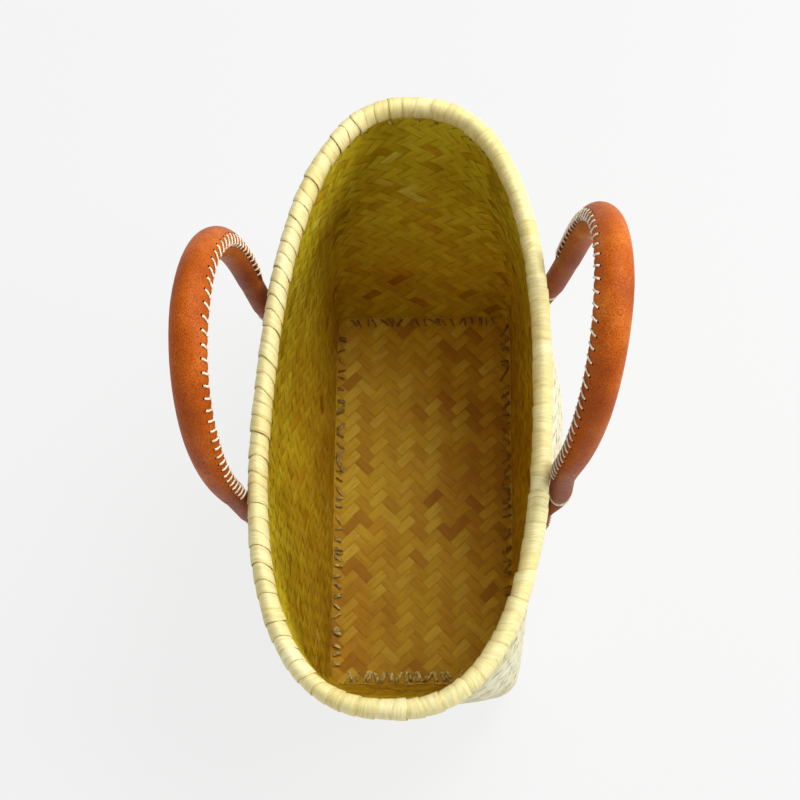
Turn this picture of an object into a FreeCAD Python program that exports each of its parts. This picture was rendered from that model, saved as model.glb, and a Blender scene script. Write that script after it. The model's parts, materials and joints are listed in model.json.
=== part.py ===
import FreeCAD, Part
import Sketcher
import math
import os
from FreeCAD import Placement, Rotation, Vector

# Woven market basket with two leather handles.
# Millimetres. +X along the mouth, +Z up, origin under the middle of the bottom.

doc = FreeCAD.newDocument("MarketBasket")

# ---------------------------------------------------------------- dimensions

DIMENSIONS = (
    ("rimtop", 260.0, "overall height of the basket without handles"),
    ("mouthhalflength", 201.0, "rim centre line, half length"),
    ("mouthhalfwidth", 88.6, "rim centre line, half width"),
    ("mouthpower", 2.47, "superellipse power of the mouth"),
    ("mouthtaper", 0.062, "how much narrower the mouth is towards +X"),
    ("mouthshift", -1.7, "middle of the mouth along X"),
    ("mouthskew", 0.055, "how far the +X end of the mouth leans towards +Y"),
    ("basehalflength", 146.4, "outside of the bottom, half length"),
    ("basehalfwidth", 70.7, "outside of the bottom, half width"),
    ("basepower", 20.0, "superellipse power of the bottom"),
    ("basetwist", 2.7, "degrees that the bottom is turned from the mouth"),
    ("basefade", 2.8, "power with which the squarish bottom fades upwards"),
    ("flarelength", 0.85, "power of the walls' flare, lengthwise"),
    ("flarewidth", 1.18, "power of the walls' flare, across"),
    ("belly", 20.0, "greatest outward swell of the long walls"),
    ("bellyrise", 1.5, "power that places the swell above half height"),
    ("bellycentre", 10.5, "middle of the swell along X"),
    ("bellywidth", 76.0, "half length of the swell along X"),
    ("walltop", 247.5, "top edge of the plaited walls, inside the rim"),
    ("outerply", 1.8, "thickness of the outer plaited layer"),
    ("innerply", 1.6, "thickness of the inner plaited layer"),
    ("plygap", 0.3, "air between neighbouring layers"),
    ("linerhalflength", 142.4, "sewn-in bottom mat, half length"),
    ("linerhalfwidth", 66.0, "sewn-in bottom mat, half width"),
    ("linercorner", 8.0, "corner radius of the bottom mat"),
    ("linerply", 2.0, "thickness of the bottom mat"),
    ("stitchedge", 3.6, "distance of the raffia stitches from the mat's edge"),
    ("stitchpitch", 9.0, "spacing of the raffia stitches"),
    ("stitchlength", 7.0, "length of one raffia stitch"),
    ("stitchradius", 0.8, "half thickness of a raffia stitch"),
    ("lashingheight", 236.5, "height of the raffia lashing under the rim"),
    ("lashinglength", 7.0, "length of one lashing stitch"),
    ("lashingradius", 0.7, "half thickness of a lashing stitch"),
    ("wraphalfwidth", 6.3, "rim wrapping, half width outside"),
    ("wraphalfheight", 9.0, "rim wrapping, half height outside"),
    ("wrapply", 1.0, "thickness of the leaf wrapping"),
    ("hoopradius", 4.3, "cane hoop in the rim"),
    ("hoopheight", 253.9, "height of the hoop's centre line"),
    ("hingeside", 103.0, "handle bend line, distance from the middle"),
    ("hingeheight", 262.0, "handle bend line, height"),
    ("legspan", 71.0, "half the distance between a handle's legs"),
    ("archbulge", 17.0, "control width of the arch outside its legs"),
    ("frontshift", 18.7, "front handle's middle along X"),
    ("frontlean", 10.3, "front handle's outward lean at rest, degrees"),
    ("frontreach", 180.0, "control height of the front arch above the bend line"),
    ("backshift", -2.0, "back handle's middle along X"),
    ("backlean", 5.0, "back handle's outward lean at rest, degrees"),
    ("backreach", 171.0, "control height of the back arch above the bend line"),
    ("gripradius", 10.8, "leather tube at the top of the arch"),
    ("shoulderradius", 9.7, "leather tube a fifth of the way up"),
    ("legradius", 8.0, "leather tube at the bend line"),
    ("neckradius", 7.4, "leather tube just under the bend line"),
    ("rootradius", 6.4, "leather tube where it is tied off, above its tab"),
    ("leatherply", 1.5, "thickness of the handle leather"),
    ("bendclearance", 0.3, "air between moving and sewn-down leather"),
    ("rootbottom", 196.0, "where the leg flattens into its tab"),
    ("rootgap", 6.8, "distance of the sewn-down part from the bend line"),
    ("rootsink", 2.4, "depth that the round root sinks into its flat tab"),
    ("tabply", 2.2, "thickness of the sewn-down tab"),
    ("tabhalfwidth", 9.0, "half width of a tab"),
    ("tabbottom", 150.0, "centre of a tab's rounded end"),
    ("tabtop", 203.0, "upper end of the flat tab"),
    ("threadradius", 0.5, "half thickness of the waxed thread"),
    ("threadlength", 7.0, "length of one seam stitch"),
    ("threadpitch", 7.5, "spacing of the seam stitches"),
    ("tabstitchpitch", 8.0, "spacing of the stitches round a tab"),
    ("tabstitchlength", 4.5, "length of one tab stitch"),
    ("tabstitchinset", 2.4, "distance of the tab stitches from its edge"),
)

sheet = doc.addObject("Spreadsheet::Sheet", "Dimensions")
for row, (alias, number, meaning) in enumerate(DIMENSIONS, start=1):
    sheet.set("A%d" % row, alias)
    sheet.set("B%d" % row, str(number))
    sheet.set("C%d" % row, meaning)
    sheet.setAlias("B%d" % row, alias)
doc.recompute()


def size(alias):
    return float(sheet.get(alias))


def bind(item, **expressions):
    for prop, expression in expressions.items():
        item.setExpression(prop, expression)
    return item


def cell(alias):
    return "Dimensions." + alias


def feature(kind, name, **properties):
    item = doc.addObject(kind, name)
    for prop, setting in properties.items():
        setattr(item, prop, setting)
    return item


subparts = []


def subpart(item, label):
    item.Label = label
    subparts.append(item)
    return item


# ------------------------------------------------------------- basket outline

OUTLINE_POINTS = 56
WALL_STATIONS = 8


def wall_point(height, turn, outset):
    """Point of the wall's outer face at a height, moved outwards by outset."""
    rise = height / size("walltop")
    half_wall = (size("outerply") + size("plygap") + size("innerply")) / 2
    top_length = size("mouthhalflength") + half_wall
    top_width = size("mouthhalfwidth") + half_wall
    flare = rise ** size("flarelength")
    half_length = size("basehalflength") + (top_length - size("basehalflength")) * flare
    flare = rise ** size("flarewidth")
    half_width = size("basehalfwidth") + (top_width - size("basehalfwidth")) * flare
    squareness = max(0.0, 1 - rise) ** size("basefade")
    power = size("mouthpower") + (size("basepower") - size("mouthpower")) * squareness
    swell = size("belly") * math.sin(math.pi * rise ** size("bellyrise"))
    return outline_point(half_length + outset, half_width + outset, power, height, rise, turn, swell)


def outline_point(half_length, half_width, power, height, rise, turn, swell=0.0):
    reach = (abs(math.cos(turn)) ** power + abs(math.sin(turn)) ** power) ** (-1 / power)
    along = half_length * reach * math.cos(turn)
    swell *= math.exp(-((along - size("bellycentre")) / size("bellywidth")) ** 2)
    across = (half_width + swell) * reach * math.sin(turn)
    across *= 1 - size("mouthtaper") * min(rise, 1.0) * along / half_length
    lean = size("mouthskew") * across * (1 + along / half_length) / 2
    along += min(rise, 1.0) * (size("mouthshift") + lean)
    twist = math.radians(size("basetwist")) * max(0.0, 1 - rise)
    x = along * math.cos(twist) - across * math.sin(twist)
    y = along * math.sin(twist) + across * math.cos(twist)
    return Vector(x, y, height)


def closed_curve(points):
    curve = Part.BSplineCurve()
    curve.interpolate(Points=points, PeriodicFlag=True)
    return Part.Wire([curve.toShape()])


def turns(count):
    return [2 * math.pi * step / count for step in range(count)]


def wall_solid(name, outset, low, high):
    """Solid bounded by the wall's outer face moved by outset, from low to high."""
    sections = []
    for station in range(WALL_STATIONS):
        height = low + (high - low) * station / (WALL_STATIONS - 1)
        section = doc.addObject("Part::Feature", "%s_section" % name)
        section.Shape = closed_curve([wall_point(height, turn, outset)
                                      for turn in turns(OUTLINE_POINTS)])
        sections.append(section)
    return feature("Part::Loft", name, Sections=sections, Solid=True, Ruled=False)


def rim_path(name, height):
    points = [outline_point(size("mouthhalflength"), size("mouthhalfwidth"),
                            size("mouthpower"), height, 1.0, turn)
              for turn in turns(OUTLINE_POINTS)]
    path = doc.addObject("Part::Feature", name)
    path.Shape = closed_curve(points)
    return path


def side_at(x, height, outset, side):
    """Distance across, at side -1 or +1, of the wall's face moved by outset."""
    low, high = 0.0, math.pi
    for _ in range(40):
        middle = (low + high) / 2
        if wall_point(height, side * middle, outset).x > x:
            low = middle
        else:
            high = middle
    return wall_point(height, side * low, outset).y


# ------------------------------------------------------------ plaited layers

OVERRUN = 1.0
shell_inset = -size("outerply")
lining_outset = shell_inset - size("plygap")
lining_inset = lining_outset - size("innerply")
liner_bottom = size("outerply") + size("plygap")
walltop = size("walltop")

outer_solid = wall_solid("OuterSolid", 0.0, 0.0, walltop)
outer_void = wall_solid("OuterVoid", shell_inset, size("outerply"), walltop + OVERRUN)
subpart(feature("Part::Cut", "WovenShell", Base=outer_solid, Tool=outer_void), "woven_shell")

lining_solid = wall_solid("LiningSolid", lining_outset, liner_bottom, walltop)
lining_void = wall_solid("LiningVoid", lining_inset, liner_bottom - OVERRUN, walltop + OVERRUN)
subpart(feature("Part::Cut", "WallLining", Base=lining_solid, Tool=lining_void), "wall_lining")


# ---------------------------------------------------------------- bottom mat

def origin_plane(body, role):
    return next(plane for plane in body.Origin.OriginFeatures if plane.Role == role)


def rectangle_sketch(body, name, half_length, half_width):
    """Rectangle centred on the body's origin, held by two bound distances."""
    sketch = body.newObject("Sketcher::SketchObject", name)
    sketch.AttachmentSupport = [(origin_plane(body, "XY_Plane"), "")]
    sketch.MapMode = "FlatFace"
    length, width = size(half_length), size(half_width)
    corners = [Vector(-length, -width, 0), Vector(length, -width, 0),
               Vector(length, width, 0), Vector(-length, width, 0)]
    for side in range(4):
        sketch.addGeometry(Part.LineSegment(corners[side], corners[(side + 1) % 4]), False)
    for side in range(4):
        sketch.addConstraint(Sketcher.Constraint("Coincident", side, 2, (side + 1) % 4, 1))
    for side in (0, 2):
        sketch.addConstraint(Sketcher.Constraint("Horizontal", side))
    for side in (1, 3):
        sketch.addConstraint(Sketcher.Constraint("Vertical", side))
    sketch.addConstraint(Sketcher.Constraint("Symmetric", 0, 1, 2, 1, -1, 1))
    long_side = sketch.addConstraint(Sketcher.Constraint("DistanceX", 0, 1, 0, 2, 2 * length))
    short_side = sketch.addConstraint(Sketcher.Constraint("DistanceY", 1, 1, 1, 2, 2 * width))
    sketch.setExpression("Constraints[%d]" % long_side, "2 * " + cell(half_length))
    sketch.setExpression("Constraints[%d]" % short_side, "2 * " + cell(half_width))
    return sketch


liner = doc.addObject("PartDesign::Body", "BaseLiner")
liner_sketch = rectangle_sketch(liner, "LinerOutline", "linerhalflength", "linerhalfwidth")
liner_pad = liner.newObject("PartDesign::Pad", "LinerPad")
liner_pad.Profile = liner_sketch
bind(liner_pad, Length=cell("linerply"))
doc.recompute()
upright = ["Edge%d" % (number + 1) for number, edge in enumerate(liner_pad.Shape.Edges)
           if abs(edge.tangentAt(edge.FirstParameter).z) > 0.9]
liner_corners = liner.newObject("PartDesign::Fillet", "LinerCorners")
liner_corners.Base = (liner_pad, upright)
bind(liner_corners, Radius=cell("linercorner"))
liner.Tip = liner_corners
liner.Placement = Placement(Vector(0, 0, liner_bottom),
                            Rotation(Vector(0, 0, 1), size("basetwist")))
subpart(liner, "base_liner")


# ------------------------------------------------------------ thread helpers

STITCH_AIR = 0.15
SEAM_AIR = 0.6


def stitch_bar(name, centre, direction, length, radius):
    """One stitch: a short round bar centred on a point, along a direction."""
    bar = doc.addObject("Part::Cylinder", name)
    bind(bar, Radius=cell(radius), Height=cell(length))
    start = centre - direction * (size(length) / 2)
    bar.Placement = Placement(start, Rotation(Vector(0, 0, 1), direction))
    return bar


def stitch_group(name, label, bars):
    return subpart(feature("Part::Compound", name, Links=bars), label)


def spread(length, pitch):
    """Evenly spaced stations, about one pitch apart, centred on zero."""
    count = max(1, round(length / pitch))
    return [(step + 0.5) * length / count - length / 2 for step in range(count)]


# ------------------------------------------------- raffia stitches of the mat

stitch_height = liner_bottom + size("linerply") + size("stitchradius") + STITCH_AIR
line_length = size("linerhalflength") - size("stitchedge")
line_width = size("linerhalfwidth") - size("stitchedge")
turned = Rotation(Vector(0, 0, 1), size("basetwist"))
raffia = []
for side in (-1, 1):
    for along in spread(2 * line_length - size("linercorner"), size("stitchpitch")):
        place = turned.multVec(Vector(along, side * line_width, stitch_height))
        across = turned.multVec(Vector(0.25, side, 0)).normalize()
        raffia.append(stitch_bar("LongSideStitch", place, across, "stitchlength", "stitchradius"))
    for across_place in spread(2 * line_width - size("linercorner"), size("stitchpitch")):
        place = turned.multVec(Vector(side * line_length, across_place, stitch_height))
        outward = turned.multVec(Vector(side, 0.25, 0)).normalize()
        raffia.append(stitch_bar("ShortSideStitch", place, outward, "stitchlength", "stitchradius"))
stitch_group("BaseStitching", "base_stitching", raffia)


# ----------------------------------------------------------------------- rim

def upright_ring(name, path, half_height, half_width):
    """Elliptical tube, taller than wide, swept round a rim path."""
    ellipse = doc.addObject("Part::Ellipse", name + "Section")
    bind(ellipse, MajorRadius=half_height, MinorRadius=half_width)
    start = path.Shape.Vertexes[0].Point
    ellipse.Placement = Placement(start, Rotation(Vector(0, 0, 1), Vector(-1, 0, 0),
                                                  Vector(0, 1, 0), "XYZ"))
    return feature("Part::Sweep", name, Sections=[ellipse], Spine=(path, ["Edge1"]),
                   Solid=True, Frenet=False)


rim_centre = size("rimtop") - size("wraphalfheight")
wrap_path = rim_path("WrapPath", rim_centre)
hoop_path = rim_path("HoopPath", size("hoopheight"))
subpart(upright_ring("RimHoop", hoop_path, cell("hoopradius"), cell("hoopradius")), "rim_hoop")

wrap_outside = upright_ring("WrapOutside", wrap_path, cell("wraphalfheight"), cell("wraphalfwidth"))
wrap_inside = upright_ring("WrapInside", wrap_path,
                           cell("wraphalfheight") + " - " + cell("wrapply"),
                           cell("wraphalfwidth") + " - " + cell("wrapply"))
wrap_tube = feature("Part::Cut", "WrapTube", Base=wrap_outside, Tool=wrap_inside)
slot_low = size("rimtop") - 2 * size("wraphalfheight") - OVERRUN
slot_high = walltop + size("plygap")
slot_outside = wall_solid("SlotOutside", size("plygap"), slot_low, slot_high)
slot_inside = wall_solid("SlotInside", lining_inset - size("plygap"), slot_low - 1, slot_high + 1)
slot = feature("Part::Cut", "WrapSlot", Base=slot_outside, Tool=slot_inside)
subpart(feature("Part::Cut", "RimWrap", Base=wrap_tube, Tool=slot), "rim_wrap")


# Raffia lashing that holds the rim, seen under it on the inside of the walls.
LASHING_STITCHES = 44
lashing_outset = lining_inset - size("lashingradius") - STITCH_AIR
half_lashing = size("lashinglength") / 2
lashing = []
for turn in turns(LASHING_STITCHES):
    foot = wall_point(size("lashingheight") - half_lashing, turn, lashing_outset)
    head = wall_point(size("lashingheight") + half_lashing, turn, lashing_outset)
    lashing.append(stitch_bar("RimLashingStitch", (foot + head) * 0.5, (head - foot).normalize(),
                              "lashinglength", "lashingradius"))
stitch_group("RimLashing", "rim_lashing", lashing)


# ------------------------------------------------------------------- handles

class Handle:
    """Arch of one handle: its bend line, its plane and its leather radius."""

    def __init__(self, name, side):
        self.name = name
        self.side = side
        self.shift = size(name + "shift")
        lean = math.radians(size(name + "lean"))
        self.up = Vector(0, side * math.sin(lean), math.cos(lean))
        self.mouthward = Vector(0, -side * math.cos(lean), math.sin(lean))
        self.origin = Vector(self.shift, side * size("hingeside"), size("hingeheight"))
        self.path = self.arch_path()

    def arch_path(self):
        span, bulge, reach = size("legspan"), size("archbulge"), size(self.name + "reach")
        poles = [self.place(-span, 0), self.place(-span - bulge, reach),
                 self.place(span + bulge, reach), self.place(span, 0)]
        self.curve = Part.BezierCurve()
        self.curve.setPoles(poles)
        path = doc.addObject("Part::Feature", self.name.title() + "Arch")
        path.Shape = Part.Wire([self.curve.toShape()])
        return path

    def place(self, along, height):
        return self.origin + Vector(along, 0, 0) + self.up * height

    def leg_foot(self, end):
        return self.place(end * size("legspan"), 0)

    def tangent(self, share):
        return self.curve.tangent(share)[0]


# Share of the arch at which each leather radius is met, from leg to leg.
RADIUS_STATIONS = ((0.0, "legradius"), (0.2, "shoulderradius"), (0.5, "gripradius"),
                   (0.8, "shoulderradius"), (1.0, "legradius"))
ROPE_STATIONS = ((0.05, "legradius"), (0.24, "shoulderradius"), (0.5, "gripradius"),
                 (0.76, "shoulderradius"), (0.95, "legradius"))


def leather_radius(share):
    for (low, small), (high, large) in zip(RADIUS_STATIONS, RADIUS_STATIONS[1:]):
        if low <= share <= high:
            part = (share - low) / (high - low)
            return size(small) + (size(large) - size(small)) * part
    return size("legradius")


def arch_tube(name, handle, path, stations, less):
    """Round tube along an arch, its radius bound at each station."""
    circles = []
    for share, radius in stations:
        circle = doc.addObject("Part::Circle", name + "Section")
        bind(circle, Radius=cell(radius) + less)
        circle.Placement = Placement(handle.curve.value(share),
                                     Rotation(Vector(0, 0, 1), handle.tangent(share)))
        circles.append(circle)
    return feature("Part::Sweep", name, Sections=circles, Spine=(path, ["Edge1"]),
                   Solid=True, Frenet=False)


def rope_path(handle):
    piece = handle.curve.copy()
    piece.segment(ROPE_STATIONS[0][0], ROPE_STATIONS[-1][0])
    path = doc.addObject("Part::Feature", handle.name.title() + "RopePath")
    path.Shape = Part.Wire([piece.toShape()])
    return path


def ball(name, centre, radius):
    item = bind(doc.addObject("Part::Sphere", name), Radius=radius)
    item.Placement = Placement(centre, Rotation())
    return item


def build_loop(handle):
    """The moving loop: rope core, leather sleeve and the seam's thread."""
    title = handle.name.title()
    rope = arch_tube(title + "Rope", handle, rope_path(handle), ROPE_STATIONS,
                     " - " + cell("leatherply"))
    subpart(rope, handle.name + "_rope_core")
    outside = arch_tube(title + "SleeveOutside", handle, handle.path, RADIUS_STATIONS, "")
    ends = [ball(title + "End", handle.leg_foot(end), cell("legradius")) for end in (-1, 1)]
    rounded = feature("Part::MultiFuse", title + "SleeveRounded", Shapes=[outside] + ends)
    sleeve = feature("Part::Cut", title + "Sleeve", Base=rounded, Tool=rope)
    subpart(sleeve, handle.name + "_sleeve")
    build_seam(handle)


def build_seam(handle):
    first, last = 0.03, 0.97
    count = round(handle.curve.length() * (last - first) / size("threadpitch"))
    bars = []
    for step in range(count):
        share = first + (last - first) * (step + 0.5) / count
        tangent = handle.tangent(share)
        lift = leather_radius(share) + size("threadradius") + SEAM_AIR
        centre = handle.curve.value(share) + handle.mouthward * lift
        slant = (tangent.cross(handle.mouthward) + tangent * 0.35).normalize()
        bars.append(stitch_bar(handle.name.title() + "SeamStitch", centre, slant,
                               "threadlength", "threadradius"))
    stitch_group(handle.name.title() + "SeamThread", handle.name + "_seam_thread", bars)


def build_tab(handle, end, sheath):
    """Sewn-down end of one leg: flat tab on the wall and the round root above it."""
    label = "%s_%s" % (handle.name, "left" if end < 0 else "right")
    title = label.title().replace("_", "")
    foot = handle.leg_foot(end)
    outline_box = feature("Part::Box", title + "TabBox")
    bind(outline_box, Length="2 * " + cell("tabhalfwidth"), Width=cell("hingeside"),
         Height=cell("tabtop") + " - " + cell("tabbottom"))
    near = min(0, handle.side) * size("hingeside") + handle.side * size("tabhalfwidth") * 2
    outline_box.Placement = Placement(
        Vector(foot.x - size("tabhalfwidth"), near, size("tabbottom")), Rotation())
    round_end = feature("Part::Cylinder", title + "TabRound")
    bind(round_end, Radius=cell("tabhalfwidth"), Height=cell("hingeside"))
    round_end.Placement = Placement(Vector(foot.x, near, size("tabbottom")),
                                    Rotation(Vector(0, 0, 1), Vector(0, 1, 0)))
    outline = feature("Part::MultiFuse", title + "TabOutline", Shapes=[outline_box, round_end])
    flat = feature("Part::MultiCommon", title + "TabFlat", Shapes=[sheath, outline])
    root = feature("Part::Cone", title + "Root")
    bind(root, Radius1=cell("rootradius"), Radius2=cell("neckradius"))
    tab_face = side_at(foot.x, size("rootbottom"), size("plygap") + size("tabply"), handle.side)
    sunk = size("rootradius") - size("rootsink")
    base = Vector(foot.x, tab_face + handle.side * sunk, size("rootbottom"))
    root.Height = (foot - base).Length - size("rootgap")
    root.Placement = Placement(base, Rotation(Vector(0, 0, 1), foot - base))
    joined = feature("Part::MultiFuse", title + "Joined", Shapes=[flat, root])
    cup = ball(title + "Cup", foot, cell("legradius") + " + " + cell("bendclearance"))
    subpart(feature("Part::Cut", title + "Tab", Base=joined, Tool=cup), label + "_tab")
    build_tab_thread(handle, foot, label, title)


def build_tab_thread(handle, foot, label, title):
    outset = size("plygap") + size("tabply") + size("threadradius") + STITCH_AIR
    inset = size("tabhalfwidth") - size("tabstitchinset")
    straight = size("rootbottom") - 4 - size("tabbottom")
    route = [(x, z) for x in (-inset, inset)
             for z in [straight / 2 + step for step in spread(straight, size("tabstitchpitch"))]]
    turned_steps = 4
    for step in range(turned_steps):
        angle = math.pi * (step + 0.5) / turned_steps
        route.append((inset * math.cos(angle), -inset * math.sin(angle)))
    bars = []
    for x, z in route:
        along = Vector(0, 0, 1) if z > 0 else Vector(-z, 0, x).normalize()
        half = along * (size("tabstitchlength") / 2)
        centre = Vector(foot.x + x, 0, size("tabbottom") + z)
        ends = [centre - half, centre + half]
        for point in ends:
            point.y = side_at(point.x, point.z, outset, handle.side)
        direction = (ends[1] - ends[0]).normalize()
        bars.append(stitch_bar(title + "TabStitch", (ends[0] + ends[1]) * 0.5, direction,
                               "tabstitchlength", "threadradius"))
    stitch_group(title + "TabThread", label + "_tab_thread", bars)


tab_low = size("tabbottom") - size("tabhalfwidth") - OVERRUN
tab_high = size("tabtop") + OVERRUN
sheath_outside = wall_solid("SheathOutside", size("plygap") + size("tabply"), tab_low, tab_high)
sheath_inside = wall_solid("SheathInside", size("plygap"), tab_low - 1, tab_high + 1)
tab_sheath = feature("Part::Cut", "TabSheath", Base=sheath_outside, Tool=sheath_inside)

for name, side in (("front", -1), ("back", 1)):
    handle = Handle(name, side)
    build_loop(handle)
    for end in (-1, 1):
        build_tab(handle, end, tab_sheath)


# -------------------------------------------------------------------- export

doc.recompute()
for item in doc.Objects:
    if "Invalid" in item.State or "Error" in item.State:
        raise RuntimeError("%s did not build" % item.Name)

os.makedirs("parts", exist_ok=True)
for item in subparts:
    if item.Shape.isNull() or not item.Shape.isValid() or item.Shape.Volume <= 0:
        raise RuntimeError("%s is not a sound solid" % item.Label)
    item.Shape.exportStep("parts/%s.step" % item.Label)
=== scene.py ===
import json
import math

import bmesh
import bpy
import numpy as np
from mathutils import Matrix, Vector

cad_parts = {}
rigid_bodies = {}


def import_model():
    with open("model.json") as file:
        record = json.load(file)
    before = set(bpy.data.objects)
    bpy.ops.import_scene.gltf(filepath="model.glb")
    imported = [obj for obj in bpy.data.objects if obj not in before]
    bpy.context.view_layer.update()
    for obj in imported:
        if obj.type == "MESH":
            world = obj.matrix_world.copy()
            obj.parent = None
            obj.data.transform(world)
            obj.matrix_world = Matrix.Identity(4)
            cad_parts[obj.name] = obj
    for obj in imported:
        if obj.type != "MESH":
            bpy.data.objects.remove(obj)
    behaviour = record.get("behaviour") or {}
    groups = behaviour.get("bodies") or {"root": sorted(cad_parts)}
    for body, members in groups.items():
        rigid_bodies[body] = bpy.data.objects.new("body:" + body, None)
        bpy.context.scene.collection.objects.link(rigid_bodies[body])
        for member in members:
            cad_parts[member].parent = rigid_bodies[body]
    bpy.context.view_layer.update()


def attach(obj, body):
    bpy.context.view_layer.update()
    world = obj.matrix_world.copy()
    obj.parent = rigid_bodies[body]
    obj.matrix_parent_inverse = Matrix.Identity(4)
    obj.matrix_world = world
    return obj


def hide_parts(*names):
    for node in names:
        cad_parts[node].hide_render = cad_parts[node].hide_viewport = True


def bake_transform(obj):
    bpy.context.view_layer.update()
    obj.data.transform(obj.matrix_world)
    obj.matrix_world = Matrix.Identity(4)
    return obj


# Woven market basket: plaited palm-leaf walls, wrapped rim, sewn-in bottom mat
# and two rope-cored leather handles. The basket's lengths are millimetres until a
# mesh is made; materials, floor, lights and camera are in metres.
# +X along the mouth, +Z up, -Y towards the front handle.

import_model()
MM = 0.001

# ---------------------------------------------------------------- dimensions

RIM_TOP = 260.0
MOUTH_HALF_LENGTH = 201.0
MOUTH_HALF_WIDTH = 88.6
MOUTH_POWER = 2.47
MOUTH_TAPER = 0.062
MOUTH_SHIFT = -1.7
MOUTH_SKEW = 0.055
BASE_HALF_LENGTH = 146.4
BASE_HALF_WIDTH = 70.7
BASE_POWER = 20.0
BASE_FADE = 2.8
FLARE_LENGTH = 0.85
FLARE_WIDTH = 1.18
BASE_TWIST = 2.7
BELLY = 20.0
BELLY_RISE = 1.5
BELLY_CENTRE = 10.5
BELLY_WIDTH = 76.0
WALL_TOP = 247.5
OUTER_PLY = 1.8
INNER_PLY = 1.6
PLY_GAP = 0.3
LINER_HALF_LENGTH = 142.4
LINER_HALF_WIDTH = 66.0
LINER_CORNER = 8.0
LINER_MIDDLE = 3.1
WRAP_HALF_WIDTH = 6.3
WRAP_HALF_HEIGHT = 9.0
HINGE_SIDE = 103.0
HINGE_HEIGHT = 262.0
LEG_SPAN = 71.0
ARCH_BULGE = 17.0
TAB_HALF_WIDTH = 9.0
TAB_BOTTOM = 150.0
TAB_PLY = 2.2
ROOT_BOTTOM = 196.0
ROOT_SINK = 2.4
GRIP_RADIUS = 10.8
SHOULDER_RADIUS = 9.7
LEG_RADIUS = 8.0
NECK_RADIUS = 7.5
ROOT_RADIUS = 6.4
ROOT_GAP = PLY_GAP + TAB_PLY + ROOT_RADIUS - ROOT_SINK

OUTER_MIDDLE = -OUTER_PLY / 2
LINING_MIDDLE = -OUTER_PLY - PLY_GAP - INNER_PLY / 2
LINING_FACE = -OUTER_PLY - PLY_GAP - INNER_PLY

draw = np.random.default_rng(41)


# --------------------------------------------------------------- piece maker

class Sheaf:
    """Closed strips and tubes that together make one piece."""

    def __init__(self):
        self.points = []
        self.quads = []
        self.caps = []
        self.grain = []
        self.tone = []
        self.total = 0

    def add(self, grid, grain, tone, loop=False):
        """grid is stations x ring x 3; a loop closes on its first station."""
        stations, ring = grid.shape[:2]
        step = np.arange(stations if loop else stations - 1)[:, None]
        side = np.arange(ring)[None, :]
        following, beside = (step + 1) % stations, (side + 1) % ring
        quads = np.stack([step * ring + side, step * ring + beside,
                          following * ring + beside, following * ring + side], -1)
        self.quads.append(quads.reshape(-1, 4) + self.total)
        if not loop:
            last = self.total + (stations - 1) * ring
            self.caps.append(list(range(self.total, self.total + ring)))
            self.caps.append(list(range(last, last + ring)))
        self.points.append(grid.reshape(-1, 3))
        self.grain.append(np.broadcast_to(grain, grid.shape).reshape(-1, 3))
        self.tone.append(np.broadcast_to(tone, grid.shape[:2]).reshape(-1))
        self.total += stations * ring

    def make(self, name, material, sharp=50.0, merge=False):
        mesh = bpy.data.meshes.new(name)
        points = np.concatenate(self.points) * MM
        mesh.from_pydata(points.tolist(), [], np.concatenate(self.quads).tolist() + self.caps)
        grain = mesh.attributes.new("grain", "FLOAT_VECTOR", "POINT")
        grain.data.foreach_set("vector", np.concatenate(self.grain).astype(np.float32).ravel())
        tone = mesh.attributes.new("tone", "FLOAT", "POINT")
        tone.data.foreach_set("value", np.concatenate(self.tone).astype(np.float32))
        work = bmesh.new()
        work.from_mesh(mesh)
        if merge:
            bmesh.ops.remove_doubles(work, verts=work.verts, dist=1e-6)
            bmesh.ops.dissolve_degenerate(work, edges=work.edges, dist=1e-6)
        bmesh.ops.recalc_face_normals(work, faces=work.faces)
        work.to_mesh(mesh)
        work.free()
        mesh.shade_smooth()
        mesh.set_sharp_from_angle(angle=math.radians(sharp))
        mesh.materials.append(material)
        piece = bpy.data.objects.new(name, mesh)
        bpy.context.collection.objects.link(piece)
        return piece


def finish_piece(piece, body, slot, *nodes):
    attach(piece, body)
    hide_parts(*nodes)


def unit(vectors):
    return vectors / np.linalg.norm(vectors, axis=-1, keepdims=True)


def smooth_step(share):
    share = np.clip(share, 0, 1)
    return share * share * (3 - 2 * share)


def tube(path, radius, sides=6, flat=1.0, up=(0, 0, 1)):
    """Ring grid round a path; flat < 1 thins it along up."""
    path = np.asarray(path, float)
    tangent = unit(np.gradient(path, axis=0))
    up = np.broadcast_to(np.asarray(up, float), path.shape)
    wide = unit(np.cross(tangent, up))
    high = np.cross(wide, tangent)
    angle = 2 * np.pi * np.arange(sides) / sides
    radius = np.broadcast_to(radius, len(path))[:, None, None]
    return (path[:, None] + wide[:, None] * (radius * np.cos(angle)[None, :, None])
            + high[:, None] * (radius * flat * np.sin(angle)[None, :, None]))


def strand_grain(path, sides, seed):
    """Grain values of a round strand: round it, along it, its own number."""
    run = np.concatenate([[0], np.cumsum(np.linalg.norm(np.diff(path, axis=0), axis=1))])
    grain = np.zeros((len(path), sides, 3))
    grain[:, :, 0] = np.arange(sides)[None] / sides
    grain[:, :, 1] = run[:, None]
    grain[:, :, 2] = seed
    return grain


# ------------------------------------------------------------------ surfaces

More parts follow.
